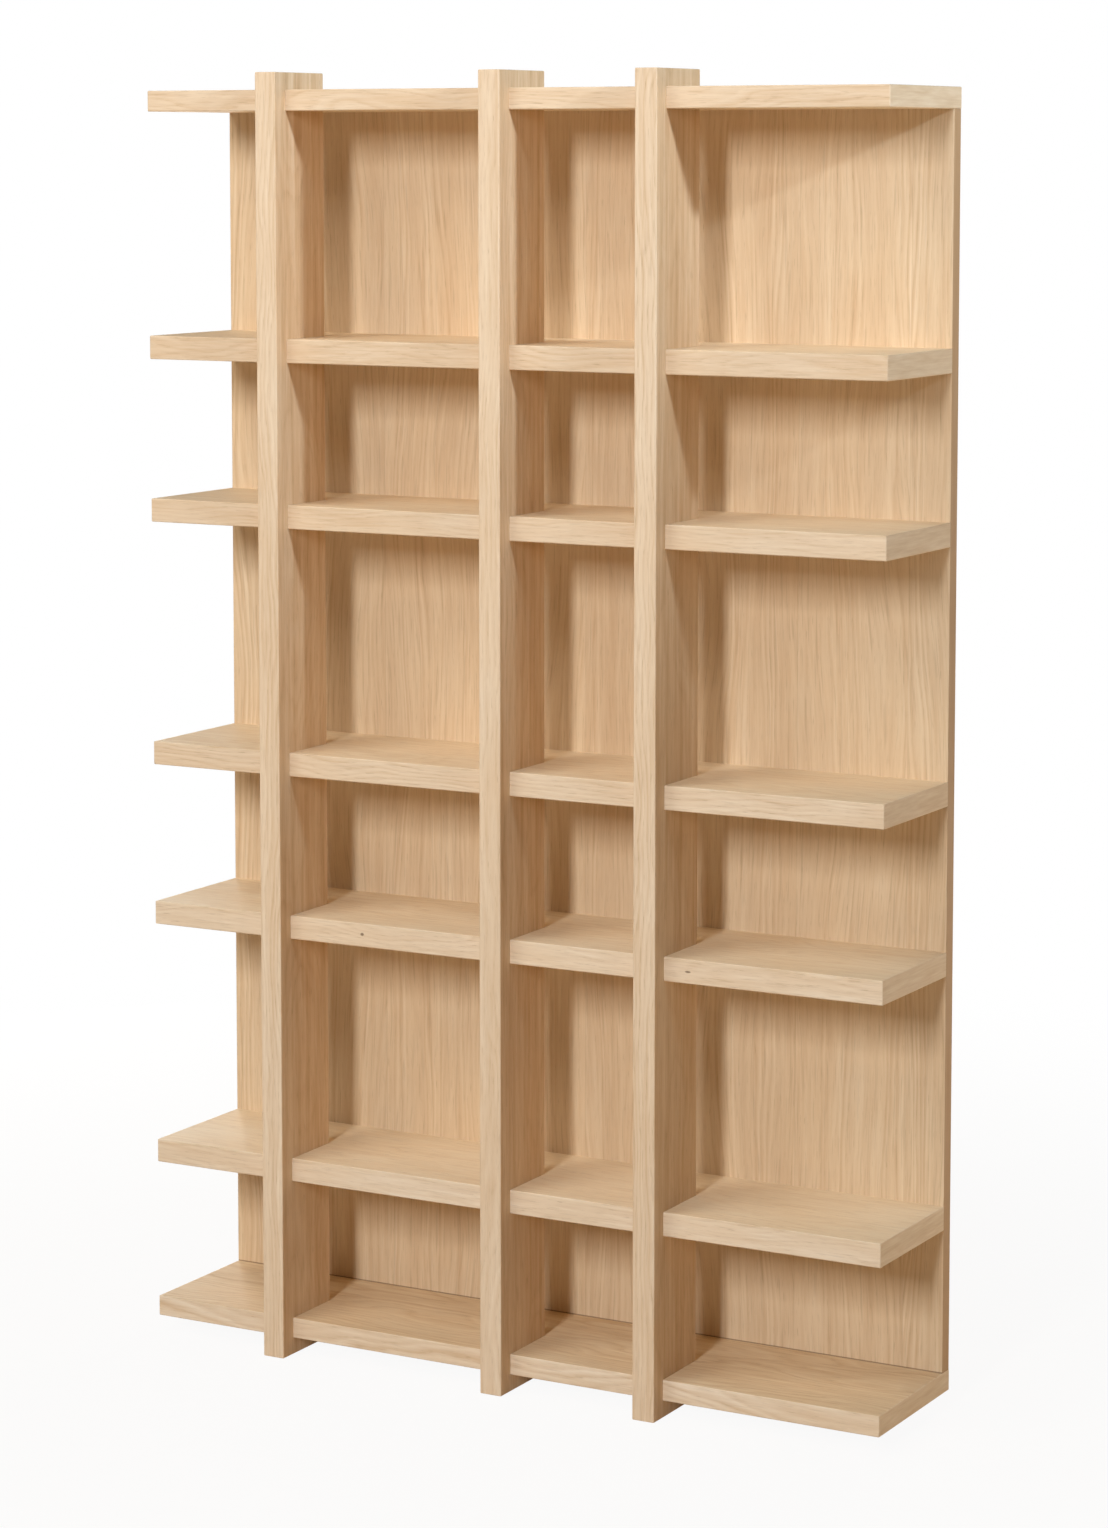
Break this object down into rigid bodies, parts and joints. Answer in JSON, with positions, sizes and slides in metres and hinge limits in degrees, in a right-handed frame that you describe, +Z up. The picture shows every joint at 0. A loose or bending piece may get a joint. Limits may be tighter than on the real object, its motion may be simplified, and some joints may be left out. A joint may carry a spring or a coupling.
{
  "type": "wall shelf",
  "caption": "Pale oak wall shelf with long boards half-lapped into proud uprights, a full back panel, alternating tall and low rows, and keyhole plates at the rear to hang it on a wall.",
  "frame": {"origin": "centre of the back panel's rear face, on the wall plane", "axes": "+X along the shelf to the right as seen from the front, +Y back to the wall, +Z up"},
  "size_m": [1.1, 0.247, 1.747],
  "materials": {
    "oak_uprights": "matt clear lacquer on pale oak",
    "oak_boards": "matt clear lacquer on pale oak",
    "oak_panel": "matt clear lacquer on oak veneer",
    "beech_dowels": "raw beech",
    "zinc_steel": "bright zinc plating",
    "hanger_steel": "zinc-plated sheet steel"
  },
  "bodies": {
    "root": {"left_upright": "oak_uprights", "middle_upright": "oak_uprights", "right_upright": "oak_uprights", "second_shelf": "oak_boards", "third_shelf": "oak_boards", "fourth_shelf": "oak_boards", "fifth_shelf": "oak_boards", "sixth_shelf": "oak_boards", "top_board": "oak_boards", "bottom_board": "oak_boards", "back_panel": "oak_panel", "second_shelf_screws": "zinc_steel", "third_shelf_screws": "zinc_steel", "fourth_shelf_screws": "zinc_steel", "fifth_shelf_screws": "zinc_steel", "sixth_shelf_screws": "zinc_steel", "hanger_screws": "zinc_steel", "top_board_dowels": "beech_dowels", "bottom_board_dowels": "beech_dowels", "upper_left_hanger": "hanger_steel", "upper_right_hanger": "hanger_steel", "lower_left_hanger": "hanger_steel", "lower_right_hanger": "hanger_steel"}
  },
  "joints": []
}
